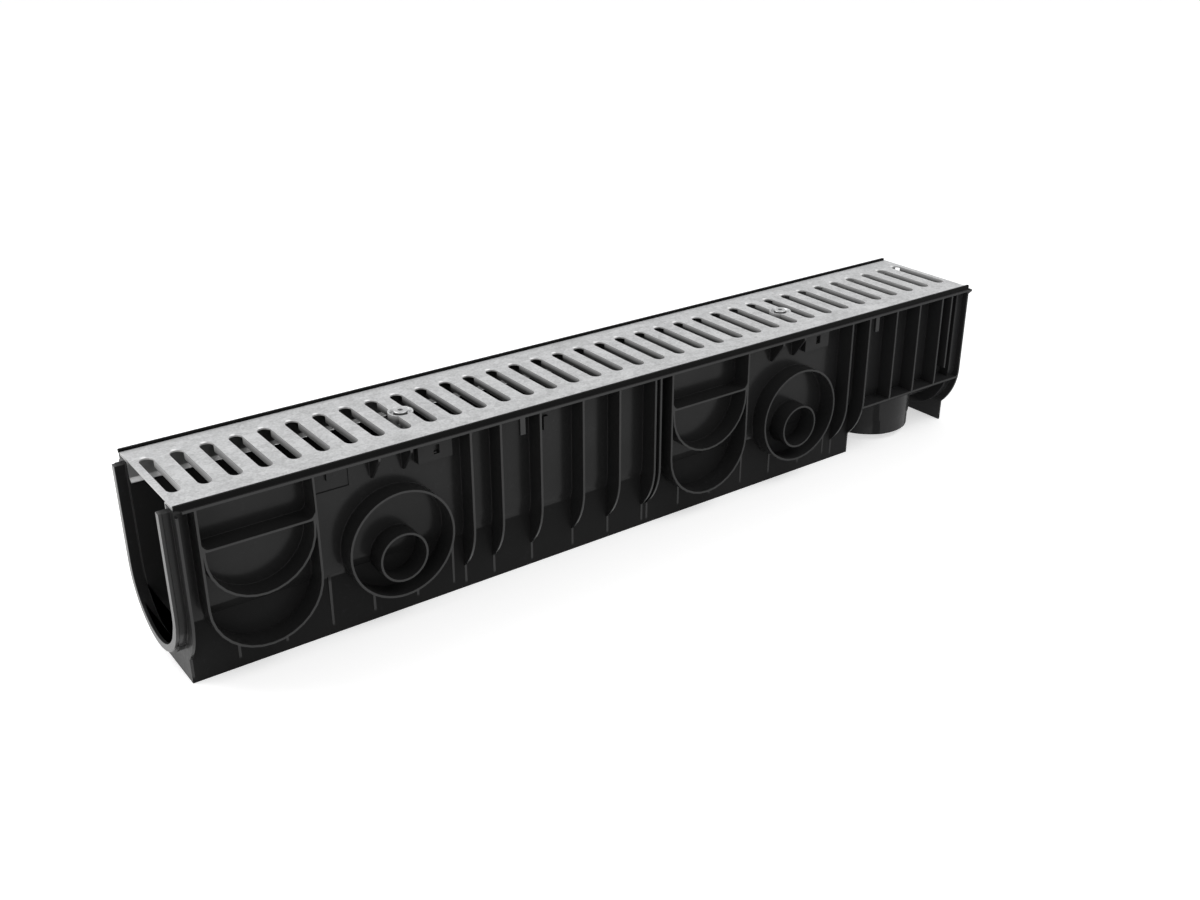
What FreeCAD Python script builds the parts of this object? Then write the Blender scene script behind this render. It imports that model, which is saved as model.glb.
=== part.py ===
import FreeCAD, Part
import math
import os

V = FreeCAD.Vector

# Channel drain: a one-metre moulded plastic channel with a pressed steel grate
# Millimetres, +Z up, X along the channel, origin under the middle of the base
# Stations are distances along X from the near end plate

# Overall sizes
channel_length = 1000.0
body_half_width = 72.5
grate_top = 185.0
rail_rise = 1.9

# Waterway, a U with straight sides and a round bottom
waterway_radius = 50.0
waterway_wall = 2.5
knockout_wall = 1.2
waterway_bottom = 29.0
waterway_axis = waterway_bottom + waterway_radius
wall_radius = waterway_radius + waterway_wall

# Seat flange and rails that hold the grate sideways
flange_thickness = 3.0
rail_thickness = 4.2
rail_inset = 1.0

# Ribs outside the waterway, and the foot that they stand on
rib_thickness = 2.6
rib_arc_centre = 77.0
foot_set_in = 2.0
foot_rim = 4.0
skirt_lean = 1.5
skirt_thickness = 2.5
web_set_back = 0.1

# Stations of what repeats along the channel, from the near end plate
module_pitch = 514.0
panel_station = 70.5
side_outlet_station = 207.5
side_rib_stations = (285.0, 318.5, 364.5, 416.0, 462.0, 515.5)
cross_rib_station = 508.5
panel_web_stations = (46.0, 92.0)
ring_web_stations = (183.0, 230.0)
long_web_stations = (139.0, 271.0)

# Stations at the outlet end, from the far end plate
last_foot_rib = 173.0
rib_before_last = 201.5
outlet_rib_stations = (127.0, 87.0, 47.0)
socket_rib_station = 30.0
spigot_station = 91.0

# Knock-out panel for a channel that joins from the side
panel_half_width = 54.5
panel_rib = 2.4
panel_axis = 81.0
panel_bar_bottom = 137.0
panel_bar_corner = 7.0
panel_bow_axis = 131.0
panel_arch_turn = 11.25

# Side outlet for a pipe: a large ring with a small tube inside it
side_ring_radius = 55.5
side_ring_axis = 84.0
side_tube_radius = 25.5
side_tube_axis = 70.0
side_ring_wall = 2.4

# Outlet spigot under the far end, and the ledge that carries it
spigot_radius = 55.0
spigot_wall = 3.0
spigot_bottom = 8.0
spigot_length = 18.5
spigot_step = 1.0
ledge_bottom = 64.5
ledge_thickness = 3.0

# End joints: collar at the near end, socket and tabs at the far end
collar_length = 10.0
collar_radius = 62.0
collar_inner_radius = 53.0
collar_chamfer = 3.0
joint_clearance = 0.5
socket_wall = 3.0
socket_rib_bottom = 85.0
tab_length = 6.0
tab_thickness = 3.0
tab_height = 7.0
tab_drop = 2.5
tab_clearance = 0.3

# Small features under the flange
gusset_stations = (189.0, 222.0, 689.0, 722.0)
gusset_height = 26.0
gusset_tip = 3.0
pad_end_station = 166.0
pad_bottom = 151.0
boss_station = 147.0
boss_thickness = 1.5
notch_length = 6.0
notch_height = 9.0
notch_drop = 8.0
notch_depth = 4.0
hook_stations = (343.5, 839.0)
hook_length = 6.0
hook_height = 17.5
hook_thickness = 3.0
clip_station = 382.0
clip_length = 6.0
clip_height = 15.0
clip_bottom = 150.0
clip_thickness = 3.0

# Grate, one pressed sheet
grate_end_gap = 0.5
grate_side_gap = 0.3
sheet = 1.5
hem_gap = 0.5
leg_gap = 1.0
leg_bottom = 162.0
leg_lip = 4.0
bend_radius = 1.0
slot_pitch = 27.8
slot_width = 13.0
slot_length = 82.0
slot_lip_depth = 8.0
slot_end_margin = 5.0
slot_end_turn = 36.0

# Fixings, each on a bridge between two slots, counted in slots from the middle
fixing_pitches = 9
dish_radius = 12.5
dish_floor_radius = 9.5
dish_depth = 3.0
bolt_radius = 4.0
bolt_length = 35.0
bolt_head_radius = 7.0
bolt_head_height = 4.4
bolt_socket_width = 5.0
bolt_socket_depth = 2.6
sheet_hole_clearance = 0.5
nut_bore_clearance = 0.05
bar_hole_clearance = 0.5
crossbar_width = 26.0
crossbar_thickness = 4.0
crossbar_reach = 57.5
crossbar_leg_gap = 0.5
pocket_clearance = 0.4
pocket_before = 15.5
pocket_after = 21.5
pocket_half_width = 60.5
pocket_wall = 2.5
pocket_notch_offset = 4.5
nut_width = 13.0
nut_height = 6.5

# Sizes that follow from those above, the foot from the round wall that its skirts stand under
rail_top = grate_top + rail_rise
grate_stack = 2.0 * sheet + hem_gap
seat_top = grate_top - grate_stack
flange_bottom = seat_top - flange_thickness
grate_half_width = body_half_width - rail_thickness - grate_side_gap
wall_middle = wall_radius - waterway_wall / 2.0
foot_half_width = wall_radius - foot_set_in
skirt_half_width = foot_half_width - skirt_lean
web_half_width = foot_half_width - web_set_back
root_half_width = skirt_half_width - skirt_thickness / 2.0
leg_outer = waterway_radius - leg_gap
dish_floor = grate_top - dish_depth
crossbar_top = leg_bottom - crossbar_leg_gap
crossbar_bottom = crossbar_top - crossbar_thickness
near_end = -(channel_length + tab_length - collar_length) / 2.0
far_end = near_end + channel_length
middle = near_end + channel_length / 2.0
slot_pairs = int((channel_length / 2.0 - slot_end_margin - slot_width / 2.0) / slot_pitch + 0.5)
slot_places = [side * (k + 0.5) * slot_pitch for k in range(slot_pairs) for side in (-1, 1)]
fixing_places = [middle + side * fixing_pitches * slot_pitch for side in (-1, 1)]


def at(station):
    """X of a station."""
    return near_end + station


def box(x_range, y_range, z_range):
    """Block between two limits on each axis."""
    low = V(x_range[0], y_range[0], z_range[0])
    return Part.makeBox(x_range[1] - x_range[0], y_range[1] - y_range[0], z_range[1] - z_range[0], low)


def upright(x, y, radius, z_range):
    """Cylinder on a vertical axis."""
    return Part.makeCylinder(radius, z_range[1] - z_range[0], V(x, y, z_range[0]))


def line(start, end):
    return Part.LineSegment(start, end).toShape()


def arc(start, middle, end):
    return Part.Arc(start, middle, end).toShape()


def loop_face(edges):
    return Part.Face(Part.Wire(edges))


def u_prism(radius, axis_height, top, x_range):
    """U-shaped block across the channel: straight sides over a half-round bottom."""
    x = x_range[0]
    edges = [
        line(V(x, -radius, top), V(x, -radius, axis_height)),
        arc(V(x, -radius, axis_height), V(x, 0, axis_height - radius), V(x, radius, axis_height)),
        line(V(x, radius, axis_height), V(x, radius, top)),
        line(V(x, radius, top), V(x, -radius, top)),
    ]
    return loop_face(edges).extrude(V(x_range[1] - x, 0, 0))


def side_prism(edges, side, inner, outer):
    """Profile drawn at Y = 0 and pulled out of one side of the channel."""
    shape = loop_face(edges)
    shape.translate(V(0, side * inner, 0))
    return shape.extrude(V(0, side * (outer - inner), 0))


def envelope_half_width(height):
    """Half width of the rib outline at a height on its round part."""
    return math.sqrt(body_half_width ** 2 - (rib_arc_centre - height) ** 2)


def rib_plate(x_range):
    """Rib across the channel: flat sides, a round shoulder and a straight foot."""
    x = x_range[0]
    foot_top = rib_arc_centre - math.sqrt(body_half_width ** 2 - foot_half_width ** 2)
    half_turn = 0.5 * math.asin((rib_arc_centre - foot_top) / body_half_width)
    middle_y = body_half_width * math.cos(half_turn)
    middle_z = rib_arc_centre - body_half_width * math.sin(half_turn)
    edges = []
    for side in (-1, 1):
        edges.append(line(V(x, side * body_half_width, seat_top), V(x, side * body_half_width, rib_arc_centre)))
        edges.append(arc(V(x, side * body_half_width, rib_arc_centre), V(x, side * middle_y, middle_z),
                         V(x, side * foot_half_width, foot_top)))
        edges.append(line(V(x, side * foot_half_width, foot_top), V(x, side * foot_half_width, 0)))
    edges.append(line(V(x, -foot_half_width, 0), V(x, foot_half_width, 0)))
    edges.append(line(V(x, -body_half_width, seat_top), V(x, body_half_width, seat_top)))
    return loop_face(Part.__sortEdges__(edges)).extrude(V(x_range[1] - x, 0, 0))


def rib_at(station):
    half = rib_thickness / 2.0
    return rib_plate((at(station) - half, at(station) + half))


def flange_and_rails():
    """Seat for the grate, with a rail along each edge."""
    length = (at(0), far_end)
    shapes = [box(length, (-body_half_width, body_half_width), (flange_bottom, seat_top))]
    inner = body_half_width - rail_thickness
    outer = body_half_width - rail_inset
    for side in (-1, 1):
        across = sorted((side * inner, side * outer))
        shapes.append(box(length, across, (flange_bottom, rail_top)))
    return shapes


def wall_height(half_width):
    """Height at which the middle of the round wall stands at a half width."""
    return waterway_axis - math.sqrt(wall_middle ** 2 - half_width ** 2)


def skirt(side):
    """Wall that closes the foot on one side, up to the last rib before the outlet."""
    x = at(0)
    inner = side * (skirt_half_width - skirt_thickness)
    top = wall_height(skirt_half_width)
    corners = [
        V(x, inner, 0), V(x, side * foot_half_width, 0), V(x, side * foot_half_width, foot_rim),
        V(x, side * skirt_half_width, top), V(x, inner, top), V(x, inner, 0),
    ]
    return Part.Face(Part.makePolygon(corners)).extrude(V(far_end - last_foot_rib - x, 0, 0))


def arch_height(station, centre_station, axis, radius):
    """Height of the lower side of a ring at a station."""
    return axis - math.sqrt(radius ** 2 - (station - centre_station) ** 2)


def foot_webs(side):
    """Short upright ridges on the skirt, which carry the panels and the side outlets."""
    panel_middle = panel_half_width - panel_rib / 2.0
    ring_middle = side_ring_radius - side_ring_wall / 2.0
    tops = [(station, wall_height(web_half_width)) for station in long_web_stations]
    for station in panel_web_stations:
        tops.append((station, arch_height(station, panel_station, panel_axis, panel_middle)))
    for station in ring_web_stations:
        tops.append((station, arch_height(station, side_outlet_station, side_ring_axis, ring_middle)))
    shapes = []
    across = sorted((side * root_half_width, side * web_half_width))
    half = rib_thickness / 2.0
    for start in (0.0, module_pitch):
        for station, top in tops:
            x = at(start + station)
            shapes.append(box((x - half, x + half), across, (foot_rim / 2.0, top)))
    return shapes


def half_turn_steps(step):
    """Angles from 0 to half a turn, as near to the step as whole flats allow."""
    flats = max(2, round(180.0 / step))
    return [math.pi * k / flats for k in range(flats + 1)]


def u_outline(x, radius, axis_height, top):
    """U-shaped outline in the side view, its round end made of short flats."""
    corners = [V(x - radius, 0, top)]
    for turn in half_turn_steps(panel_arch_turn):
        corners.append(V(x - radius * math.cos(turn), 0, axis_height - radius * math.sin(turn)))
    corners.append(V(x + radius, 0, top))
    return Part.makePolygon(corners + [corners[0]]).Edges


def bar_outline(x, half, bottom, corner, top):
    """Rectangle with two rounded bottom corners, in the side view."""
    mid = corner * (1.0 - math.sqrt(0.5))
    return [
        line(V(x - half, 0, top), V(x - half, 0, bottom + corner)),
        arc(V(x - half, 0, bottom + corner), V(x - half + mid, 0, bottom + mid), V(x - half + corner, 0, bottom)),
        line(V(x - half + corner, 0, bottom), V(x + half - corner, 0, bottom)),
        arc(V(x + half - corner, 0, bottom), V(x + half - mid, 0, bottom + mid), V(x + half, 0, bottom + corner)),
        line(V(x + half, 0, bottom + corner), V(x + half, 0, top)),
        line(V(x + half, 0, top), V(x - half, 0, top)),
    ]


def panel_opening(station, side):
    """Space inside the frame of a knock-out panel, from the middle of the wall outwards."""
    outline = u_outline(at(station), panel_half_width - panel_rib, panel_axis, flange_bottom)
    return side_prism(outline, side, root_half_width, body_half_width)


def knockout_panel(station, side):
    """Three nested rib outlines, one for each depth of channel that can join here."""
    x = at(station)
    clear_half = panel_half_width - panel_rib
    frame = side_prism(u_outline(x, panel_half_width, panel_axis, flange_bottom), side,
                       root_half_width, body_half_width)
    frame = frame.cut(panel_opening(station, side))
    bar_top = panel_bar_bottom + panel_bar_corner + 2.0 * panel_rib
    bar = side_prism(bar_outline(x, panel_half_width, panel_bar_bottom, panel_bar_corner, bar_top),
                     side, root_half_width, body_half_width)
    bar_hollow = side_prism(bar_outline(x, clear_half, panel_bar_bottom + panel_rib, panel_bar_corner, rail_top),
                            side, 0, rail_top)
    bar = bar.cut(bar_hollow)
    bow_top = panel_bar_bottom + panel_bar_corner
    bow = side_prism(u_outline(x, clear_half, panel_bow_axis, bow_top), side, root_half_width, body_half_width)
    bow_hollow = side_prism(u_outline(x, clear_half - panel_rib, panel_bow_axis, rail_top), side, 0, rail_top)
    bow = bow.cut(bow_hollow)
    return [frame, bar, bow]


def side_cylinder(station, side, height, radius):
    """Cylinder from the middle of the wall out to the edge of the body."""
    base = V(at(station), side * root_half_width, height)
    return Part.makeCylinder(radius, body_half_width - root_half_width, base, V(0, side, 0))


def side_outlet(station, side):
    """Large ring for a main pipe and small tube for a branch, both closed at the wall."""
    shapes = []
    for radius, height in ((side_ring_radius, side_ring_axis), (side_tube_radius, side_tube_axis)):
        tube = side_cylinder(station, side, height, radius)
        shapes.append(tube.cut(side_cylinder(station, side, height, radius - side_ring_wall)))
    return shapes


def waterway_wall_shapes():
    """Wall of the waterway, thinner where a panel or an outlet is knocked out."""
    length = (at(0), far_end)
    thin = u_prism(waterway_radius + knockout_wall, waterway_axis, seat_top, length)
    thick = u_prism(wall_radius, waterway_axis, seat_top, length)
    openings = []
    for side in (-1, 1):
        for start in (0.0, module_pitch):
            openings.append(panel_opening(start + panel_station, side))
            openings.append(side_cylinder(start + side_outlet_station, side, side_ring_axis,
                                          side_ring_radius - side_ring_wall))
        pad_start = panel_station + panel_half_width - panel_rib / 2.0
        across = sorted((side * root_half_width, side * body_half_width))
        openings.append(box((at(pad_start), at(pad_end_station)), across, (pad_bottom, flange_bottom)))
    return [thin, thick.cut(openings)]


def gusset(station, side):
    """Small web between the wall and the flange."""
    x = at(station) - rib_thickness / 2.0
    tip = V(x, side * (wall_radius + gusset_tip), flange_bottom - gusset_height)
    corners = [
        V(x, side * wall_middle, seat_top), V(x, side * body_half_width, seat_top),
        V(x, side * body_half_width, flange_bottom - rib_thickness), tip,
        V(x, side * wall_middle, flange_bottom - gusset_height), V(x, side * wall_middle, seat_top),
    ]
    return Part.Face(Part.makePolygon(corners)).extrude(V(rib_thickness, 0, 0))


def wall_block(x_range, side, outer, z_range):
    """Block that stands out from the waterway wall."""
    across = sorted((side * wall_middle, side * outer))
    return box(x_range, across, z_range)


def pocket_block(x, side):
    """Block on the wall with the pocket that holds one end of a crossbar, and a notch in its face."""
    block = wall_block((x - pocket_before, x + pocket_after), side, pocket_half_width,
                       (crossbar_bottom - pocket_wall, seat_top))
    across = sorted((side * (pocket_half_width - notch_depth), side * pocket_half_width))
    centre = x + pocket_notch_offset
    top = flange_bottom - notch_drop
    return block.cut(box((centre - notch_length / 2.0, centre + notch_length / 2.0), across,
                         (top - notch_height, top)))


def small_features(side):
    """Gussets, bosses, clips, hooks and the pockets of the crossbars."""
    shapes = [gusset(station, side) for station in gusset_stations]
    boss = (at(boss_station) - notch_length / 2.0, at(boss_station) + notch_length / 2.0)
    boss_top = flange_bottom - notch_drop
    across = sorted((side * root_half_width, side * (wall_radius + boss_thickness)))
    shapes.append(box(boss, across, (boss_top - notch_height, boss_top)))
    clip = (at(clip_station) - clip_length / 2.0, at(clip_station) + clip_length / 2.0)
    shapes.append(wall_block(clip, side, wall_radius + clip_thickness, (clip_bottom, clip_bottom + clip_height)))
    across = sorted((side * (body_half_width - hook_thickness), side * body_half_width))
    for station in hook_stations:
        hook = (at(station) - hook_length / 2.0, at(station) + hook_length / 2.0)
        shapes.append(box(hook, across, (flange_bottom - hook_height, seat_top)))
    shapes += [pocket_block(x, side) for x in fixing_places]
    return shapes


def near_collar():
    """Open U-shaped collar with a lead-in, which enters the socket of the next channel."""
    start = at(0) - collar_length
    full = u_prism(collar_radius, waterway_axis, flange_bottom, (start + collar_chamfer, at(rib_thickness)))
    nose = u_prism(collar_radius - collar_chamfer / 2.0, waterway_axis, flange_bottom, (start, at(rib_thickness)))
    return [full, nose]


def far_socket():
    """Wall round the socket at the far end."""
    depth = collar_length + joint_clearance
    outer = collar_radius + joint_clearance + socket_wall
    return u_prism(outer, waterway_axis, seat_top, (far_end - depth - socket_wall, far_end))


def tab_prism(side, grow):
    """Tapered tab at the end of the flange, or the notch for it when grown by a clearance."""
    inner = side * (body_half_width - tab_thickness - grow)
    low = flange_bottom - tab_drop - grow
    high = low + tab_height + 2.0 * grow
    tip = tab_length + grow
    corners = [
        V(0, inner, low), V(0, inner, high), V(tip, inner, high - tab_height / 3.0),
        V(tip, inner, low + tab_height / 3.0), V(0, inner, low),
    ]
    return Part.Face(Part.makePolygon(corners)).extrude(V(0, side * (tab_thickness + 2.0 * grow), 0))


def outlet_spigot():
    """Vertical pipe stub with a small stop, under the waterway, and the ledge round it."""
    x = far_end - spigot_station
    half = envelope_half_width(ledge_bottom + ledge_thickness / 2.0)
    ledge_top = ledge_bottom + ledge_thickness
    ledge = box((far_end - last_foot_rib, far_end), (-half, half), (ledge_bottom, ledge_top))
    shoulder = spigot_bottom + spigot_length
    pipe = upright(x, 0, spigot_radius, (spigot_bottom, shoulder))
    stop = upright(x, 0, spigot_radius + spigot_step, (shoulder, ledge_top))
    return [ledge, pipe, stop]


def side_rib(station):
    """Rib on both sides of the channel, with nothing between the skirts."""
    inner = skirt_half_width - skirt_thickness
    return rib_at(station).cut(box((near_end, far_end), (-inner, inner), (0, waterway_axis)))


def raised_rib(station, bottom):
    """Rib that ends at a height above the foot."""
    below = box((near_end, far_end), (-body_half_width, body_half_width), (0, bottom))
    return rib_at(station).cut(below)


def channel_body():
    """One moulded piece: waterway, ribs, foot, flange, panels, outlets and end joints."""
    parts = waterway_wall_shapes() + flange_and_rails() + near_collar() + outlet_spigot()
    parts.append(far_socket())
    parts.append(rib_plate((at(0), at(rib_thickness))))
    parts.append(rib_plate((far_end - rib_thickness, far_end)))
    parts += [side_rib(station) for station in side_rib_stations + (channel_length - rib_before_last,)]
    parts += [rib_at(station) for station in (cross_rib_station, channel_length - last_foot_rib)]
    parts += [raised_rib(channel_length - distance, ledge_bottom) for distance in outlet_rib_stations]
    parts.append(raised_rib(channel_length - socket_rib_station, socket_rib_bottom))
    for side in (-1, 1):
        parts.append(skirt(side))
        parts += foot_webs(side)
        for start in (0.0, module_pitch):
            parts += knockout_panel(start + panel_station, side)
            parts += side_outlet(start + side_outlet_station, side)
        parts += small_features(side)
        tab = tab_prism(side, 0.0)
        tab.translate(V(far_end, 0, 0))
        parts.append(tab)
    body = parts[0].multiFuse(parts[1:])

    # Everything that is hollow is cut once, after the walls are joined
    beyond = collar_length + tab_length
    cuts = [u_prism(waterway_radius, waterway_axis, rail_top, (at(0), far_end))]
    cuts.append(u_prism(collar_inner_radius, waterway_axis, rail_top, (at(0) - beyond, at(0))))
    socket_start = far_end - collar_length - joint_clearance
    cuts.append(u_prism(collar_radius + joint_clearance, waterway_axis, flange_bottom, (socket_start, far_end)))
    bore = spigot_radius - spigot_wall
    cuts.append(upright(far_end - spigot_station, 0, bore, (0, ledge_bottom)))
    for side in (-1, 1):
        notch = tab_prism(side, tab_clearance)
        notch.translate(V(at(0), 0, 0))
        cuts.append(notch)
    for x in fixing_places:
        reach = upright(x, 0, crossbar_reach + pocket_clearance,
                        (crossbar_bottom, crossbar_top + pocket_clearance))
        half = crossbar_width / 2.0 + pocket_clearance
        cuts.append(reach.common(box((x - half, x + half), (-body_half_width, body_half_width), (0, rail_top))))
    return body.cut(cuts).removeSplitter()


def slot_outline(x, width, length, step, z_range):
    """Long slot across the grate, each end a half round of short flats, one for each step of angle."""
    radius = width / 2.0
    reach = length / 2.0 - radius
    corners = []
    for side in (-1, 1):
        for turn in half_turn_steps(step):
            corners.append(V(x + side * radius * math.cos(turn), side * (reach + radius * math.sin(turn)), z_range[0]))
    face = Part.Face(Part.makePolygon(corners + [corners[0]]))
    return face.extrude(V(0, 0, z_range[1] - z_range[0]))


def grate_profile():
    """Section of the sheet: flat top, hems folded under, and two legs with lips turned in."""
    x = near_end + grate_end_gap
    fold = grate_stack / 2.0
    edge = grate_half_width - fold
    middle = grate_top - fold
    inside = hem_gap / 2.0
    leg_inner = leg_outer - sheet
    outer_bend = bend_radius + sheet
    bend_y = leg_outer + bend_radius
    bend_z = seat_top - bend_radius
    root = math.sqrt(0.5)
    edges = [line(V(x, -edge, grate_top), V(x, edge, grate_top))]
    for side in (-1, 1):
        def point(y, z):
            return V(x, side * y, z)
        lip_turn = point(leg_outer, leg_bottom + leg_lip)
        lip_end = point(leg_outer - leg_lip, leg_bottom)
        lip_corner = point(leg_outer - leg_lip - sheet * root, leg_bottom + sheet * root)
        lip_root = point(leg_inner, leg_bottom + leg_lip + sheet * (2.0 * root - 1.0))
        edges += [
            arc(point(edge, grate_top), point(edge + fold, middle), point(edge, seat_top)),
            line(point(edge, seat_top), point(bend_y, seat_top)),
            arc(point(bend_y, seat_top), point(bend_y - bend_radius * root, bend_z + bend_radius * root),
                point(leg_outer, bend_z)),
            line(point(leg_outer, bend_z), lip_turn),
            line(lip_turn, lip_end),
            line(lip_end, lip_corner),
            line(lip_corner, lip_root),
            line(lip_root, point(leg_inner, bend_z)),
            arc(point(leg_inner, bend_z), point(bend_y - outer_bend * root, bend_z + outer_bend * root),
                point(bend_y, seat_top + sheet)),
            line(point(bend_y, seat_top + sheet), point(edge, seat_top + sheet)),
            arc(point(edge, seat_top + sheet), point(edge + inside, middle), point(edge, grate_top - sheet)),
        ]
    edges.append(line(V(x, -edge, grate_top - sheet), V(x, edge, grate_top - sheet)))
    return loop_face(Part.__sortEdges__(edges)).extrude(V(channel_length - 2.0 * grate_end_gap, 0, 0))


def grate():
    """One sheet with pressed slots, and two dishes for the bolt heads."""
    lip_bottom = grate_top - slot_lip_depth
    lip_reach = (slot_length - slot_width) / 2.0
    lips = []
    holes = []
    for place in slot_places:
        x = middle + place
        half = slot_width / 2.0 + sheet
        lips.append(box((x - half, x + half), (-lip_reach, lip_reach), (lip_bottom, grate_top - sheet / 2.0)))
        hole = slot_outline(x, slot_width, slot_length, slot_end_turn, (lip_bottom, grate_top))
        for fixing in fixing_places:
            if abs(x - fixing) < slot_pitch:
                hole = hole.cut(upright(fixing, 0, dish_radius, (lip_bottom, grate_top)))
        holes.append(hole)
    shape = grate_profile().multiFuse(lips)
    cuts = list(holes)
    for x in fixing_places:
        cuts.append(Part.makeCone(dish_floor_radius, dish_radius - sheet, dish_depth, V(x, 0, dish_floor)))
        cuts.append(upright(x, 0, bolt_radius + sheet_hole_clearance, (lip_bottom, grate_top)))
        cuts.append(upright(x, 0, dish_radius - sheet, (lip_bottom, dish_floor - sheet)))
    islands = [upright(x, 0, dish_radius, (dish_floor - sheet, grate_top)) for x in fixing_places]
    return shape.multiFuse(islands).cut(cuts).removeSplitter()


def hexagon(x, across_flats, bottom, height):
    """Upright hexagonal block."""
    radius = across_flats / (2.0 * math.cos(math.radians(30)))
    corners = [V(x + radius * math.cos(math.radians(60 * k)), radius * math.sin(math.radians(60 * k)), bottom)
               for k in range(6)]
    return Part.Face(Part.makePolygon(corners + [corners[0]])).extrude(V(0, 0, height))


def bolt(x):
    """Screw with a low round head and a hexagon socket."""
    head_top = dish_floor + bolt_head_height
    shank = upright(x, 0, bolt_radius, (dish_floor - bolt_length, dish_floor))
    head = upright(x, 0, bolt_head_radius, (dish_floor, head_top))
    socket = hexagon(x, bolt_socket_width, head_top - bolt_socket_depth, bolt_socket_depth)
    return shank.fuse(head).cut(socket)


def crossbar(x):
    """Flat steel bar with round ends, turned into the two pockets of the body."""
    half = crossbar_width / 2.0
    disc = upright(x, 0, crossbar_reach, (crossbar_bottom, crossbar_top))
    strip = box((x - half, x + half), (-crossbar_reach, crossbar_reach), (crossbar_bottom, crossbar_top))
    hole = upright(x, 0, bolt_radius + bar_hole_clearance, (crossbar_bottom, crossbar_top))
    return disc.common(strip).cut(hole)


def nut(x):
    """Hexagon nut, welded under the crossbar."""
    bottom = crossbar_bottom - nut_height
    bore = upright(x, 0, bolt_radius + nut_bore_clearance, (bottom, crossbar_bottom))
    return hexagon(x, nut_width, bottom, nut_height).cut(bore)


def export(name, shape):
    shape.exportStep(os.path.join("parts", name + ".step"))
    print(name, "solids", len(shape.Solids), "valid", shape.isValid(), "volume", round(shape.Volume))


os.makedirs("parts", exist_ok=True)
export("channel_body", channel_body())
export("grate", grate())
for place, x in zip(("near", "far"), fixing_places):
    export("bolt_" + place, bolt(x))
    export("crossbar_" + place, crossbar(x))
    export("nut_" + place, nut(x))
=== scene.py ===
import bmesh
import bpy
import math
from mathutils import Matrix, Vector


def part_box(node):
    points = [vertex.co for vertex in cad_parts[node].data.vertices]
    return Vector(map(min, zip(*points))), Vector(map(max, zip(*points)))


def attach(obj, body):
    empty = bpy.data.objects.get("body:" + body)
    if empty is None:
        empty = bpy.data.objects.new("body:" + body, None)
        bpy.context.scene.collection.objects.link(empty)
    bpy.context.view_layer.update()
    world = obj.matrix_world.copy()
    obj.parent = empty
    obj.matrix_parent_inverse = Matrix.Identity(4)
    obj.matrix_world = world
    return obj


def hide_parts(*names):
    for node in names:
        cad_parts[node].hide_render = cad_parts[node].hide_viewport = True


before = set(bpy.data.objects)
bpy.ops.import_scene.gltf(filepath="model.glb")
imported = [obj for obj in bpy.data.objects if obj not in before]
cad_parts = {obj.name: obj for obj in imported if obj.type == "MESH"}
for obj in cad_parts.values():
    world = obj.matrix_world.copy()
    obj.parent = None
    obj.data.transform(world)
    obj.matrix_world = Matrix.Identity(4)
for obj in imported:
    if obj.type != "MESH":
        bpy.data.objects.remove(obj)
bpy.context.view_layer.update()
scene = bpy.context.scene

# Camera
# It stands off the near end, half a metre above the grate, and looks slantwise
# along the channel and 25 degrees down, as in the photograph.
camera_place = (-0.7841276, -1.05866326, 0.6916958)
camera_turn = 0.93870574
camera_tilt = 0.43802005
camera_data = bpy.data.cameras.new("view")
camera_data.sensor_width = 36.0
camera_data.lens = 39.567
camera_data.clip_start = 0.01
camera = bpy.data.objects.new("view", camera_data)
scene.collection.objects.link(camera)
look = Vector((math.cos(camera_tilt) * math.cos(camera_turn), math.cos(camera_tilt) * math.sin(camera_turn),
               -math.sin(camera_tilt)))
camera.location = camera_place
camera.rotation_mode = "QUATERNION"
camera.rotation_quaternion = look.to_track_quat("-Z", "Y")
scene.camera = camera
scene.view_settings.view_transform = "Standard"


# Floor and surroundings
# A plain white studio floor that keeps the channel's soft shadow, under an
# even white surround, with a large soft lamp behind and two smaller ones in front.
floor_radius = 14.0
floor_colour = (0.80, 0.80, 0.80, 1.0)
floor_glow = 0.55
surround_for_light = 0.55
surround_seen = 1.0
white = (1.0, 1.0, 1.0, 1.0)
lamps = (("lamp_behind", (-1.3, 1.0, 1.4), 1.2, 18.0),
         ("lamp_front", (0.8, -0.9, 1.6), 0.9, 8.0),
         ("lamp_side", (-1.7, -0.9, 0.9), 1.0, 2.5))
lamp_aim = Vector((0.0, 0.0, 0.1))


def material_nodes(name):
    """A new material with its Principled BSDF and output, ready for more nodes."""
    material = bpy.data.materials.new(name)
    material.use_nodes = True
    tree = material.node_tree
    return material, tree, tree.nodes["Principled BSDF"]


def calculated(tree, operation, first, second=0.0):
    """A sum with one or two values, each a number or another node's output."""
    node = tree.nodes.new("ShaderNodeMath")
    node.operation = operation
    for socket, value in zip(node.inputs, (first, second)):
        if isinstance(value, (int, float)):
            socket.default_value = value
        else:
            tree.links.new(value, socket)
    return node.outputs[0]


def largest(tree, *values):
    """The largest of the values, so masks joined into one."""
    result = values[0]
    for value in values[1:]:
        result = calculated(tree, "MAXIMUM", result, value)
    return result


def ranged(tree, value, low, high, to_low, to_high):
    """A value moved from one range to another, and held at its ends."""
    node = tree.nodes.new("ShaderNodeMapRange")
    for socket, number in (("From Min", low), ("From Max", high), ("To Min", to_low), ("To Max", to_high)):
        node.inputs[socket].default_value = number
    tree.links.new(value, node.inputs["Value"])
    return node.outputs["Result"]


def seen_directly(tree):
    """1 for camera, glossy and transmission rays, 0 for the rays that only light the object."""
    path = tree.nodes.new("ShaderNodeLightPath")
    return largest(tree, path.outputs["Is Camera Ray"], path.outputs["Is Glossy Ray"],
                   path.outputs["Is Transmission Ray"])


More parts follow.
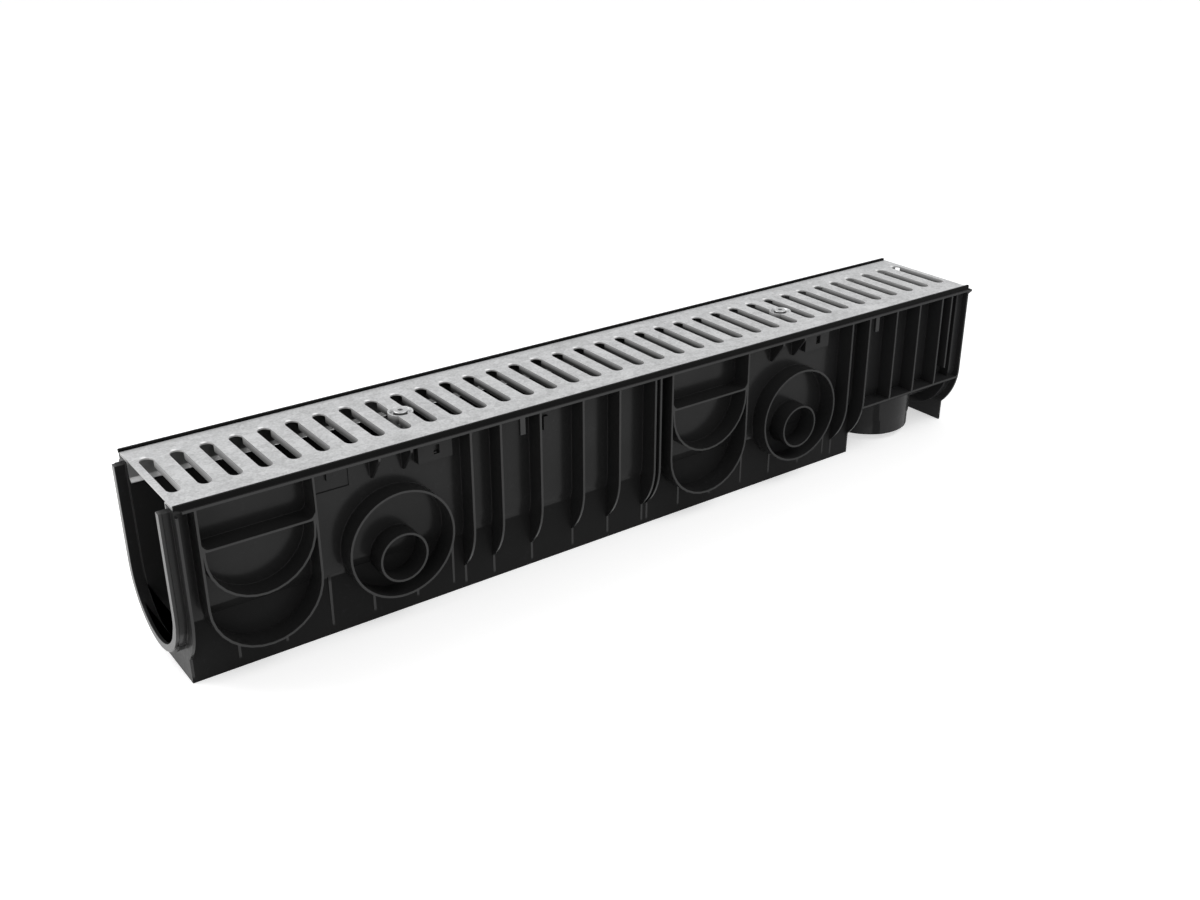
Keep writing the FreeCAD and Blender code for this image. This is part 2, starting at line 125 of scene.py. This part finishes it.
floor_mesh = bmesh.new()
bmesh.ops.create_circle(floor_mesh, cap_ends=True, segments=64, radius=floor_radius)
floor_data = bpy.data.meshes.new("floor")
floor_mesh.to_mesh(floor_data)
floor_mesh.free()
floor = bpy.data.objects.new("floor", floor_data)
scene.collection.objects.link(floor)
floor_material, floor_tree, floor_shader = material_nodes("studio_floor")
floor_shader.inputs["Base Color"].default_value = floor_colour
floor_shader.inputs["Roughness"].default_value = 0.9
floor_shader.inputs["Specular IOR Level"].default_value = 0.1
floor_shader.inputs["Emission Color"].default_value = white
floor_tree.links.new(calculated(floor_tree, "MULTIPLY", seen_directly(floor_tree), floor_glow),
                     floor_shader.inputs["Emission Strength"])
floor_data.materials.append(floor_material)

world = bpy.data.worlds.new("studio")
world.use_nodes = True
scene.world = world
world_tree = world.node_tree
surround = world_tree.nodes["Background"]
surround.inputs["Color"].default_value = white
world_tree.links.new(ranged(world_tree, seen_directly(world_tree), 0.0, 1.0, surround_for_light, surround_seen),
                     surround.inputs["Strength"])

for name, place, size, energy in lamps:
    lamp_data = bpy.data.lights.new(name, "AREA")
    lamp_data.shape = "SQUARE"
    lamp_data.size = size
    lamp_data.energy = energy
    lamp = bpy.data.objects.new(name, lamp_data)
    lamp.location = place
    lamp.rotation_mode = "QUATERNION"
    lamp.rotation_quaternion = (lamp_aim - Vector(place)).to_track_quat("-Z", "Y")
    scene.collection.objects.link(lamp)


# Channel body
# One injection moulding in black polypropylene. It is glossy on its walls, most
# on the ribs' outer edges and the collar, and dull on the foot, the rails and
# what faces up. Its edges are slightly rounded, as they leave the mould.
plastic_colour = (0.017, 0.017, 0.017, 1.0)
# Lighter plastic for the scuffs, and for the painted light towards the far end
plastic_scuffed_and_lit_colour = (0.028, 0.028, 0.029, 1.0)
plastic_rail_colour = (0.006, 0.006, 0.006, 1.0)
join_distance = 0.000002
same_plane_turn = 1.0
flat_face_area = 0.0001
smooth_turn = 40.0
smooth_turn_beside_flat = 20.0
corner_turn = 45.0
body_edge_round = 0.0004
sliver_length = 0.00005
panel_centres = (-0.4275, 0.0865)
panel_reach = 0.0525
ring_centres = (-0.2905, 0.2235)
ring_reach = 0.0530
arch_end_height = 0.144
arch_end_reach = 0.0497
arch_end_seat = 0.1411
foot_line = 0.061
panel_line = 0.072
line_softness = 0.0006
skirt_half_width = 0.05065
skirt_lean = 0.025
skirt_softness = 0.00003
wall_half_width = 0.0514
rib_foot_heights = (0.0005, 0.062)
rib_run_out = (-0.0005, 0.0010)
tube_height = 0.070
round_wall_height = 0.077
beside_softness = 0.0005
height_error = 0.00001
arch_end_error = 0.00002
cloud_scale = 14.0
scuff_scale = 160.0
mould_grain_scale = 900.0
mould_grain_depth = 0.0004
body_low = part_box("channel_body")[0]

# From where to where each mask changes, as heights, half widths, radii or places along the channel
skirt_top = (0.060, 0.0605)
ridge_foot = (0.0575, 0.0585)
rail_top = (0.1816, 0.1820)
waterway_side = (0.0450, 0.0460)
rail_side = (0.0675, 0.0680)
tube_wall = (0.02312, 0.02325)
ridge_radius = (0.0719, 0.0722)
near_end_face = (-0.499, -0.496)
collar_start = (body_low.x + 0.001, body_low.x + 0.002)
collar_nose = (body_low.x + 0.0015, body_low.x + 0.0030)
ridge_fade = (-0.2, 0.3)
gloss_fade = (0.0, 0.45)
# Painted light: where the walls are made lighter towards the far end
far_end_lightening = (0.1, 0.45)


def joined_mesh(node):
    """A CAD node's loose triangles, joined into whole faces."""
    mesh = bmesh.new()
    mesh.from_mesh(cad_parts[node].data)
    bmesh.ops.remove_doubles(mesh, verts=mesh.verts, dist=join_distance)
    bmesh.ops.dissolve_limit(mesh, angle_limit=math.radians(same_plane_turn), use_dissolve_boundaries=False,
                             verts=mesh.verts, edges=mesh.edges, delimit={"NORMAL"})
    return mesh


def turn_of(edge):
    """Angle between the two faces of an edge, in degrees."""
    return math.degrees(edge.calc_face_angle(0.0))


def sharp_edges(mesh, turn):
    """The edges at which the surface turns by more than this many degrees."""
    return [edge for edge in mesh.edges if turn_of(edge) > turn]


def rounded(mesh, edges, width, segments, clamped=True):
    """Rounds the edges. Clamped, it stops short where two roundings meet."""
    bmesh.ops.bevel(mesh, geom=edges, offset=width, offset_type="OFFSET", segments=segments, profile=0.5,
                    affect="EDGES", clamp_overlap=clamped, loop_slide=True, material=-1)


def finished(name, mesh, body, material):
    """Makes the object: smooth across small turns, flat faces kept flat."""
    mesh.normal_update()
    for face in mesh.faces:
        face.smooth = True
    for edge in mesh.edges:
        beside_flat = any(face.calc_area() > flat_face_area for face in edge.link_faces)
        limit = smooth_turn_beside_flat if beside_flat else smooth_turn
        edge.smooth = len(edge.link_faces) == 2 and turn_of(edge) < limit
    data = bpy.data.meshes.new(name)
    mesh.to_mesh(data)
    mesh.free()
    data.materials.append(material)
    piece = bpy.data.objects.new(name, data)
    scene.collection.objects.link(piece)
    flats = piece.modifiers.new("flats", "WEIGHTED_NORMAL")
    flats.keep_sharp = True
    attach(piece, body)
    return piece


def coordinates(tree):
    """The place on the object, then that place and the surface's direction by axis."""
    source = tree.nodes.new("ShaderNodeTexCoord")
    place_axes = tree.nodes.new("ShaderNodeSeparateXYZ")
    tree.links.new(source.outputs["Object"], place_axes.inputs[0])
    normal_axes = tree.nodes.new("ShaderNodeSeparateXYZ")
    tree.links.new(source.outputs["Normal"], normal_axes.inputs[0])
    return source.outputs["Object"], place_axes.outputs, normal_axes.outputs


def noise(tree, vector, scale, detail=3.0, roughness=0.5):
    """Soft random values between 0 and 1 over the surface."""
    node = tree.nodes.new("ShaderNodeTexNoise")
    node.inputs["Scale"].default_value = scale
    node.inputs["Detail"].default_value = detail
    node.inputs["Roughness"].default_value = roughness
    tree.links.new(vector, node.inputs["Vector"])
    return node.outputs["Fac"]


def product(tree, *values):
    """The values multiplied, so what masks have in common."""
    result = values[0]
    for value in values[1:]:
        result = calculated(tree, "MULTIPLY", result, value)
    return result


def opposite(tree, mask):
    """1 where the mask is 0, and 0 where it is 1."""
    return calculated(tree, "SUBTRACT", 1.0, mask)


def distance(tree, first, second):
    """How far a place is from a line, from its two offsets at a right angle."""
    squares = [product(tree, offset, offset) for offset in (first, second)]
    return calculated(tree, "SQRT", calculated(tree, "ADD", *squares))


def blended(tree, factor, first, second):
    """Mix of two colours by a factor."""
    node = tree.nodes.new("ShaderNodeMix")
    node.data_type = "RGBA"
    tree.links.new(factor, node.inputs[0])
    for socket, colour in ((node.inputs[6], first), (node.inputs[7], second)):
        if isinstance(colour, tuple):
            socket.default_value = colour
        else:
            tree.links.new(colour, socket)
    return node.outputs[2]


def bumped(tree, height, strength, distance, shader):
    """Lets a height stand out of the shader's surface."""
    node = tree.nodes.new("ShaderNodeBump")
    node.inputs["Strength"].default_value = strength
    node.inputs["Distance"].default_value = distance
    tree.links.new(height, node.inputs["Height"])
    tree.links.new(node.outputs["Normal"], shader.inputs["Normal"])


body_material, body_tree, body_shader = material_nodes("moulded_black_plastic")
body_place, body_axes, body_normal = coordinates(body_tree)
body_width = calculated(body_tree, "ABSOLUTE", body_axes["Y"])
outside_waterway = ranged(body_tree, body_width, *waterway_side, 0.0, 1.0)
facing_end = ranged(body_tree, calculated(body_tree, "ABSOLUTE", body_normal["X"]), 0.6, 0.8, 1.0, 0.0)

# Masks: the dull foot, which ends higher under the panels and the rings
beside_centres = []
for centres, reach in ((panel_centres, panel_reach), (ring_centres, ring_reach)):
    for centre in centres:
        across = calculated(body_tree, "ABSOLUTE", calculated(body_tree, "SUBTRACT", body_axes["X"], centre))
        beside_centres.append(ranged(body_tree, across, reach - beside_softness, reach, 1.0, 0.0))
foot_border = ranged(body_tree, largest(body_tree, *beside_centres), 0.0, 1.0, foot_line, panel_line)
below = ranged(body_tree, calculated(body_tree, "SUBTRACT", body_axes["Z"], foot_border),
               -line_softness, line_softness, 1.0, 0.0)
skirt_face = calculated(body_tree, "SUBTRACT", skirt_half_width, product(body_tree, body_axes["Z"], skirt_lean))
skirt_face = largest(body_tree, skirt_face, ranged(body_tree, body_axes["Z"], *skirt_top, 0.0, wall_half_width))
within_skirt = ranged(body_tree, calculated(body_tree, "SUBTRACT", body_width, skirt_face),
              -skirt_softness, skirt_softness, 1.0, 0.0)
dull_foot = product(body_tree, below, within_skirt, outside_waterway, facing_end)

# Masks: the inside of the tubes, the rails and what faces up, and the end plate
inside_tubes = []
for centre in ring_centres:
    from_tube = distance(body_tree, calculated(body_tree, "SUBTRACT", body_axes["X"], centre),
                         calculated(body_tree, "SUBTRACT", body_axes["Z"], tube_height))
    inside_tubes.append(ranged(body_tree, from_tube, *tube_wall, 1.0, 0.0))
in_tube = product(body_tree, largest(body_tree, *inside_tubes), outside_waterway, 0.20)
rail = product(body_tree, ranged(body_tree, body_axes["Z"], *rail_top, 0.0, 1.0),
               ranged(body_tree, body_width, *rail_side, 0.0, 1.0))
faces_up = ranged(body_tree, body_normal["Z"], 0.3, 0.7, 0.0, 0.6)
end_plate = product(body_tree, ranged(body_tree, body_axes["X"], *near_end_face, 1.0, 0.0),
                    ranged(body_tree, body_normal["X"], -0.9, -0.7, 0.28, 0.0),
                    ranged(body_tree, body_axes["X"], *collar_start, 0.0, 1.0))
dull = largest(body_tree, dull_foot, in_tube, faces_up, rail, end_plate)

# Masks: the glossier outer edges of the ribs and the nose of the collar
fall = largest(body_tree, calculated(body_tree, "SUBTRACT", round_wall_height, body_axes["Z"]), 0.0)
from_axis = distance(body_tree, fall, body_width)
ridge = largest(body_tree, ranged(body_tree, from_axis, *ridge_radius, 0.0, 1.0),
                product(body_tree, outside_waterway, ranged(body_tree, body_axes["Z"], *ridge_foot, 1.0, 0.0),
                        opposite(body_tree, within_skirt)))
glossier = largest(body_tree, product(body_tree, ridge, facing_end, opposite(body_tree, dull)),
                   ranged(body_tree, body_axes["X"], *collar_nose, 1.0, 0.0))

body_cloud = noise(body_tree, body_place, cloud_scale, 4.0)
body_scuffs = noise(body_tree, body_place, scuff_scale, 5.0, 0.65)
gloss = product(body_tree, opposite(body_tree, product(body_tree, dull, 0.92)),
                ranged(body_tree, body_cloud, 0.3, 0.7, 0.28, 0.38))
extra_gloss = product(body_tree, glossier, ranged(body_tree, body_axes["X"], *ridge_fade, 0.40, 0.15))
gloss = calculated(body_tree, "ADD", gloss, extra_gloss)
gloss = product(body_tree, gloss, ranged(body_tree, body_axes["X"], *gloss_fade, 1.0, 0.78))
body_tree.links.new(gloss, body_shader.inputs["Coat Weight"])
scuffs_and_far_lightening = product(body_tree, ranged(body_tree, body_scuffs, 0.56, 0.78, 0.0, 1.0),
               ranged(body_tree, body_cloud, 0.45, 0.65, 0.0, 1.0))
# Scuffs are the plastic's own wear; on top of them, painted light makes the walls lighter towards the far end
scuffs_and_far_lightening = largest(body_tree, scuffs_and_far_lightening, ranged(body_tree, body_axes["X"], *far_end_lightening, 0.0, 0.6))
side_colour = blended(body_tree, scuffs_and_far_lightening, plastic_colour, plastic_scuffed_and_lit_colour)
body_tree.links.new(blended(body_tree, rail, side_colour, plastic_rail_colour), body_shader.inputs["Base Color"])
body_tree.links.new(ranged(body_tree, body_scuffs, 0.3, 0.7, 0.42, 0.58), body_shader.inputs["Roughness"])
mould_grain = noise(body_tree, body_place, mould_grain_scale, 2.0)
bumped(body_tree, mould_grain, 0.05, mould_grain_depth, body_shader)
body_shader.inputs["Specular IOR Level"].default_value = 0.03
body_shader.inputs["Coat Roughness"].default_value = 0.20
body_shader.inputs["Coat IOR"].default_value = 1.5

# Mesh: the ends of the panels' bows are moved to the corners of the bars' hollows, then slivers are closed
body_mesh = joined_mesh("channel_body")
for vert in body_mesh.verts:
    from_arch_end = min(abs(abs(vert.co.x - centre) - arch_end_reach) for centre in panel_centres)
    if abs(vert.co.z - arch_end_height) < height_error and from_arch_end < arch_end_error:
        vert.co.z = arch_end_seat
bmesh.ops.remove_doubles(body_mesh, verts=body_mesh.verts, dist=sliver_length)
body_mesh.normal_update()


def runs_out(edge):
    """True where a rib runs out in the skirt, too low there to be rounded."""
    stands_out = [abs(vert.co.y) - (skirt_half_width - skirt_lean * vert.co.z) for vert in edge.verts]
    on_skirt = all(rib_foot_heights[0] < vert.co.z < rib_foot_heights[1] for vert in edge.verts)
    return on_skirt and min(stands_out) < rib_run_out[1] and max(stands_out) > rib_run_out[0]


body_edges = [edge for edge in sharp_edges(body_mesh, corner_turn) if not runs_out(edge)]
rounded(body_mesh, body_edges, body_edge_round, 2, clamped=False)
body_piece = finished("moulded_channel", body_mesh, "channel", body_material)
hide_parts("channel_body")


# Grate
# One pressed galvanised sheet. Each slot is punched and its rim pressed down,
# so the rim is round on top, and two bridges are dished for the bolt heads.
slot_wall_colour = (0.56, 0.56, 0.56, 1.0)
# Painted shade at the foot of the slots' walls and further inside the slots
slot_foot_painted_shade = (0.15, 0.15, 0.15, 1.0)
slot_inner_painted_shade = (0.05, 0.05, 0.05, 1.0)
# Painted highlight just beyond one end of each slot
slot_highlight_colour = (0.95, 0.95, 0.95, 1.0)
# Painted shade in the dimples
dimple_shade_colour = (0.36, 0.36, 0.36, 1.0)
# Painted shade on the legs, darker further in, and painted light on their lip
upper_leg_painted_shade = (0.38, 0.38, 0.38, 1.0)
lip_painted_light = (0.60, 0.60, 0.60, 1.0)
leg_inner_painted_shade = (0.12, 0.12, 0.12, 1.0)
zinc_tints = (("Red", 0.985), ("Green", 0.992), ("Blue", 1.0))
zinc_metallic = 0.85
slot_wall_metallic = 0.30
zinc_crystal_scale = 170.0
zinc_cloud_scale = 28.0
zinc_grain_scale = 420.0
zinc_grain_depth = 0.0002
slot_rim_turn = 60.0
slot_rim_round = 0.0011
slot_end_turns = (25.0, 45.0)
slot_end_height = 0.001
slot_end_round = 0.0018
dish_rim_radius = 0.011
dish_rim_error = 0.0002
dish_rim_round = 0.0005
slots_half_width = 0.05
slots_half_length = 0.4985
bridge_pitch = 0.0278
dimple_offset = 0.051
dimple_radius = 0.0026
dimple_depth = 12.0
slot_end_place = 0.0422
grate_low, grate_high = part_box("grate")
grate_middle = (grate_low.x + grate_high.x) / 2.0
bolt_places = [sum(corner.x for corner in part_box(bolt)) / 2.0 for bolt in ("bolt_near", "bolt_far")]

# From where to where each mask changes, as heights, half widths, radii or places along the channel
leg_side = (0.0440, 0.0445)
leg_top = (0.1800, 0.1815)
lip_top = (0.1655, 0.1670)
slot_shade = (grate_high.z - 0.0085, grate_high.z - 0.0015)
slot_inner_shade = (grate_high.z - 0.0055, grate_high.z - 0.0008)
slot_inner_shade_run = (-0.42, -0.20)
leg_inner_shade_run = (-0.47, -0.36)
slot_end_radius = (0.0012, 0.0034)


def new_group(name, inputs, outputs):
    """An effect as a node group with named values going in and coming out."""
    group = bpy.data.node_groups.new(name, "ShaderNodeTree")
    for socket, value in inputs:
        item = group.interface.new_socket(name=socket, in_out="INPUT", socket_type="NodeSocketFloat")
        item.default_value = value
    for socket, kind in outputs:
        group.interface.new_socket(name=socket, in_out="OUTPUT", socket_type=kind)
    return group, group.nodes.new("NodeGroupInput"), group.nodes.new("NodeGroupOutput")


def placed_group(tree, group, values):
    """The group as a node of a material, with that material's values."""
    node = tree.nodes.new("ShaderNodeGroup")
    node.node_tree = group
    for socket, value in values.items():
        node.inputs[socket].default_value = value
    return node


zinc_group, zinc_in, zinc_out = new_group(
    "zinc_coating", (("Spangle", 0.5), ("Cloud", 0.5), ("Light", 0.8), ("Dark", 0.6)),
    (("Color", "NodeSocketColor"), ("Roughness", "NodeSocketFloat"), ("Height", "NodeSocketFloat")))
zinc_place = zinc_group.nodes.new("ShaderNodeTexCoord")
crystals = zinc_group.nodes.new("ShaderNodeTexVoronoi")
crystals.inputs["Scale"].default_value = zinc_crystal_scale
crystals.inputs["Randomness"].default_value = 1.0
zinc_group.links.new(zinc_place.outputs["Object"], crystals.inputs["Vector"])
crystal_parts = zinc_group.nodes.new("ShaderNodeSeparateColor")
zinc_group.links.new(crystals.outputs["Color"], crystal_parts.inputs[0])
cloud = noise(zinc_group, zinc_place.outputs["Object"], zinc_cloud_scale, 4.0, 0.6)
grain = noise(zinc_group, zinc_place.outputs["Object"], zinc_grain_scale, 3.0, 0.6)
crystal_tone = product(zinc_group, crystal_parts.outputs["Red"], zinc_in.outputs["Spangle"])
cloud_tone = product(zinc_group, ranged(zinc_group, cloud, 0.3, 0.7, 0.0, 1.0), zinc_in.outputs["Cloud"])
tone = calculated(zinc_group, "ADD", crystal_tone, cloud_tone)
tone = calculated(zinc_group, "ADD", tone, ranged(zinc_group, grain, 0.3, 0.7, -0.38, 0.38))
level = zinc_group.nodes.new("ShaderNodeMapRange")
zinc_group.links.new(tone, level.inputs["Value"])
zinc_group.links.new(zinc_in.outputs["Light"], level.inputs["To Min"])
zinc_group.links.new(zinc_in.outputs["Dark"], level.inputs["To Max"])
zinc_colour = zinc_group.nodes.new("ShaderNodeCombineColor")
for part, tint in zinc_tints:
    zinc_group.links.new(product(zinc_group, level.outputs["Result"], tint), zinc_colour.inputs[part])
zinc_group.links.new(zinc_colour.outputs[0], zinc_out.inputs["Color"])
zinc_group.links.new(ranged(zinc_group, tone, 0.0, 1.0, 0.34, 0.50), zinc_out.inputs["Roughness"])
zinc_group.links.new(calculated(zinc_group, "ADD", grain, crystal_tone), zinc_out.inputs["Height"])

grate_material, grate_tree, grate_shader = material_nodes("galvanised_sheet")
grate_coating = placed_group(grate_tree, zinc_group, {"Spangle": 0.45, "Cloud": 0.50, "Light": 0.62, "Dark": 0.43})
grate_place, grate_axes, grate_normal = coordinates(grate_tree)
grate_width = calculated(grate_tree, "ABSOLUTE", grate_axes["Y"])
upright = ranged(grate_tree, calculated(grate_tree, "ABSOLUTE", grate_normal["Z"]), 0.20, 0.42, 1.0, 0.0)

# Painted shade and light on the slots' walls and the legs: the walls darker downwards and further from the open end,
# the legs lit on their lip, shaded above it and darker further in
on_leg = product(grate_tree, ranged(grate_tree, grate_width, *leg_side, 0.0, 1.0),
                 ranged(grate_tree, grate_axes["Z"], *leg_top, 1.0, 0.0))
upper_leg = product(grate_tree, on_leg, ranged(grate_tree, grate_axes["Z"], *lip_top, 0.0, 1.0))
slot_wall = calculated(grate_tree, "SUBTRACT", upright, product(grate_tree, upright, on_leg))
near_wall_colour = blended(grate_tree, ranged(grate_tree, grate_axes["Z"], *slot_shade, 0.0, 1.0),
                           slot_foot_painted_shade, slot_wall_colour)
inner_wall_colour = blended(grate_tree, ranged(grate_tree, grate_axes["Z"], *slot_inner_shade, 0.0, 1.0),
                            slot_inner_painted_shade, slot_wall_colour)
wall_colour = blended(grate_tree, ranged(grate_tree, grate_axes["X"], *slot_inner_shade_run, 0.0, 1.0),
                      near_wall_colour, inner_wall_colour)
whole_leg_colour = blended(grate_tree, ranged(grate_tree, grate_axes["X"], *leg_inner_shade_run, 0.0, 1.0),
                           blended(grate_tree, upper_leg, lip_painted_light, upper_leg_painted_shade), leg_inner_painted_shade)
sheet_colour = blended(grate_tree, slot_wall, grate_coating.outputs["Color"], wall_colour)
sheet_colour = blended(grate_tree, on_leg, sheet_colour, whole_leg_colour)

# Small round dimples on the bridges, bumped in and given a painted shade, and a painted highlight just beyond one end
# of each slot
bridge_start = calculated(grate_tree, "SUBTRACT", grate_axes["X"], grate_middle - bridge_pitch / 2.0)
bridge_start = calculated(grate_tree, "FLOORED_MODULO", bridge_start, bridge_pitch)
from_bridge = calculated(grate_tree, "SUBTRACT", bridge_start, bridge_pitch / 2.0)
from_dimple = distance(grate_tree, from_bridge, calculated(grate_tree, "SUBTRACT", grate_width, dimple_offset))
dimple = ranged(grate_tree, from_dimple, dimple_radius * 0.5, dimple_radius, 1.0, 0.0)
sheet_colour = blended(grate_tree, product(grate_tree, dimple, 0.35), sheet_colour, dimple_shade_colour)
from_slot = calculated(grate_tree, "SUBTRACT", bridge_pitch / 2.0,
                       calculated(grate_tree, "ABSOLUTE", from_bridge))
past_slot = calculated(grate_tree, "SUBTRACT", grate_axes["Y"], slot_end_place)
slot_end = product(grate_tree, ranged(grate_tree, distance(grate_tree, from_slot, past_slot),
                                      *slot_end_radius, 0.8, 0.0), opposite(grate_tree, upright))
sheet_colour = blended(grate_tree, slot_end, sheet_colour, slot_highlight_colour)
grate_tree.links.new(sheet_colour, grate_shader.inputs["Base Color"])
grate_tree.links.new(ranged(grate_tree, slot_wall, 0.0, 1.0, zinc_metallic, slot_wall_metallic),
                     grate_shader.inputs["Metallic"])
grate_tree.links.new(grate_coating.outputs["Roughness"], grate_shader.inputs["Roughness"])
surface = calculated(grate_tree, "SUBTRACT", grate_coating.outputs["Height"],
                     product(grate_tree, dimple, dimple_depth))
bumped(grate_tree, surface, 0.10, zinc_grain_depth, grate_shader)

# Mesh: first the slots' end corners, then the rims of the dishes, which are sharper, and the other rims
grate_mesh = joined_mesh("grate")
slot_corners = [edge for edge in grate_mesh.edges
                if slot_end_turns[0] < turn_of(edge) < slot_end_turns[1]
                and abs(edge.verts[0].co.z - edge.verts[1].co.z) > slot_end_height]
rounded(grate_mesh, slot_corners, slot_end_round, 4)
slot_rims = [edge for edge in sharp_edges(grate_mesh, slot_rim_turn)
             if all(vert.co.z > grate_high.z - height_error and abs(vert.co.y) < slots_half_width
                    and abs(vert.co.x - grate_middle) < slots_half_length for vert in edge.verts)]
dish_centres = [Vector((bolt_place, 0.0)) for bolt_place in bolt_places]
dish_rims = [edge for edge in slot_rims
             if min(abs((edge.verts[0].co.xy - centre).length - dish_rim_radius)
                    for centre in dish_centres) < dish_rim_error]
rounded(grate_mesh, dish_rims, dish_rim_round, 2)
rounded(grate_mesh, [edge for edge in slot_rims if edge.is_valid], slot_rim_round, 3)
grate_piece = finished("pressed_grate", grate_mesh, "grate", grate_material)
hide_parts("grate")


# Bolts
# Two zinc-plated screws with a low round head and a hexagon socket. Each is
# turned from bar, its thread rolled, and it hangs through the dish of the grate.
# Painted shade on the upright side of the heads
head_side_shade_colour = (0.10, 0.10, 0.10, 1.0)
head_side_radius = (0.0058, 0.0062)
head_rim_radius = 0.0065
head_rim_turn = 60.0
head_rim_round = 0.0014
thread_length = 0.0275
thread_run_out = 0.0006
thread_start = 0.0008
thread_pitch = 0.00125
thread_turns = 20
thread_steps = 24
thread_root = 0.0034
thread_crest = 0.00397
thread_sunk = 0.0001

# The thread's corners in section: how far from the bolt's axis, and how far above the thread's middle
thread_profile = ((thread_root - thread_sunk, -0.00055), (thread_crest, -0.0001),
                  (thread_crest, 0.0001), (thread_root - thread_sunk, 0.00055))


def zinc_material(name, values, bump):
    """Zinc-coated steel, its look set by the group's values."""
    material, tree, shader = material_nodes(name)
    coating = placed_group(tree, zinc_group, values)
    tree.links.new(coating.outputs["Color"], shader.inputs["Base Color"])
    tree.links.new(coating.outputs["Roughness"], shader.inputs["Roughness"])
    shader.inputs["Metallic"].default_value = zinc_metallic
    bumped(tree, coating.outputs["Height"], bump, zinc_grain_depth, shader)
    return material, tree, shader, coating


# The material is the same all over but for the upright side of the head, which gets a painted shade
bolt_material, bolt_tree, bolt_shader, bolt_coating = zinc_material(
    "zinc_plated_bolt", {"Spangle": 0.10, "Cloud": 0.25, "Light": 0.52, "Dark": 0.36}, 0.05)
bolt_place, bolt_axes, bolt_normal = coordinates(bolt_tree)
between_bolts = sum(bolt_places) / 2.0
bolt_reach = (bolt_places[1] - bolt_places[0]) / 2.0
from_middle = calculated(bolt_tree, "ABSOLUTE", calculated(bolt_tree, "SUBTRACT", bolt_axes["X"], between_bolts))
from_bolt = distance(bolt_tree, calculated(bolt_tree, "SUBTRACT", from_middle, bolt_reach), bolt_axes["Y"])
head_side_shade = product(bolt_tree, ranged(bolt_tree, from_bolt, *head_side_radius, 0.0, 1.0),
                    ranged(bolt_tree, calculated(bolt_tree, "ABSOLUTE", bolt_normal["Z"]), 0.15, 0.45, 1.0, 0.0))
bolt_tree.links.new(blended(bolt_tree, head_side_shade, bolt_coating.outputs["Color"], head_side_shade_colour),
                    bolt_shader.inputs["Base Color"])

for place, bolt_place in zip(("near", "far"), bolt_places):
    bolt_low, bolt_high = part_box("bolt_" + place)
    bolt_axis = Vector((bolt_place, 0.0))
    bolt_mesh = joined_mesh("bolt_" + place)
    rim = [edge for edge in sharp_edges(bolt_mesh, head_rim_turn)
           if all(vert.co.z > bolt_high.z - height_error and (vert.co.xy - bolt_axis).length > head_rim_radius
                  for vert in edge.verts)]
    rounded(bolt_mesh, rim, head_rim_round, 4)
    thread_end = bolt_low.z + thread_length
    for height in (thread_end, thread_end - thread_run_out):
        bmesh.ops.bisect_plane(bolt_mesh, geom=bolt_mesh.verts[:] + bolt_mesh.edges[:] + bolt_mesh.faces[:],
                               plane_co=(0.0, 0.0, height), plane_no=(0.0, 0.0, 1.0))
    for vert in bolt_mesh.verts:
        if vert.co.z < thread_end - thread_run_out / 2.0:
            vert.co.xy = bolt_axis + (vert.co.xy - bolt_axis).normalized() * thread_root
    ridge_corners = [bolt_mesh.verts.new((bolt_axis.x + radius, 0.0, bolt_low.z + thread_start + height))
                     for radius, height in thread_profile]
    ridge_edges = [bolt_mesh.edges.new((ridge_corners[k - 1], ridge_corners[k])) for k in range(len(ridge_corners))]
    bmesh.ops.spin(bolt_mesh, geom=ridge_corners + ridge_edges, cent=(bolt_axis.x, 0.0, 0.0), axis=(0.0, 0.0, 1.0),
                   dvec=(0.0, 0.0, thread_pitch / thread_steps), angle=2.0 * math.pi * thread_turns,
                   steps=thread_turns * thread_steps, use_merge=False, use_duplicate=False)
    bmesh.ops.holes_fill(bolt_mesh, edges=[edge for edge in bolt_mesh.edges if edge.is_boundary], sides=4)
    bmesh.ops.recalc_face_normals(bolt_mesh, faces=bolt_mesh.faces[:])
    bolt_piece = finished("socket_screw_" + place, bolt_mesh, "bolt_" + place, bolt_material)
    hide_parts("bolt_" + place)


# Crossbars
# Two galvanised steel bars with sheared round ends, turned into the pockets of
# the channel under the grate, where the bolts pull them up.
bar_edge_round = 0.0004
# Their zinc is set darker than the grate's, a painted shade for the dark space under the grate
bar_material = zinc_material("galvanised_bar", {"Spangle": 0.30, "Cloud": 0.50, "Light": 0.42, "Dark": 0.26}, 0.12)[0]
for place in ("near", "far"):
    bar_mesh = joined_mesh("crossbar_" + place)
    rounded(bar_mesh, sharp_edges(bar_mesh, corner_turn), bar_edge_round, 2)
    bar_piece = finished("locking_bar_" + place, bar_mesh, "channel", bar_material)
    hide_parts("crossbar_" + place)


# Nuts
# Two zinc-plated steel hexagon nuts, one welded under each bar, into which the
# bolts are turned. Their edges are slightly rounded.
nut_edge_round = 0.0004
nut_material = zinc_material("zinc_plated_nut", {"Spangle": 0.10, "Cloud": 0.40, "Light": 0.72, "Dark": 0.48}, 0.08)[0]
for place in ("near", "far"):
    nut_mesh = joined_mesh("nut_" + place)
    rounded(nut_mesh, sharp_edges(nut_mesh, corner_turn), nut_edge_round, 2)
    nut_piece = finished("weld_nut_" + place, nut_mesh, "channel", nut_material)
    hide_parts("nut_" + place)
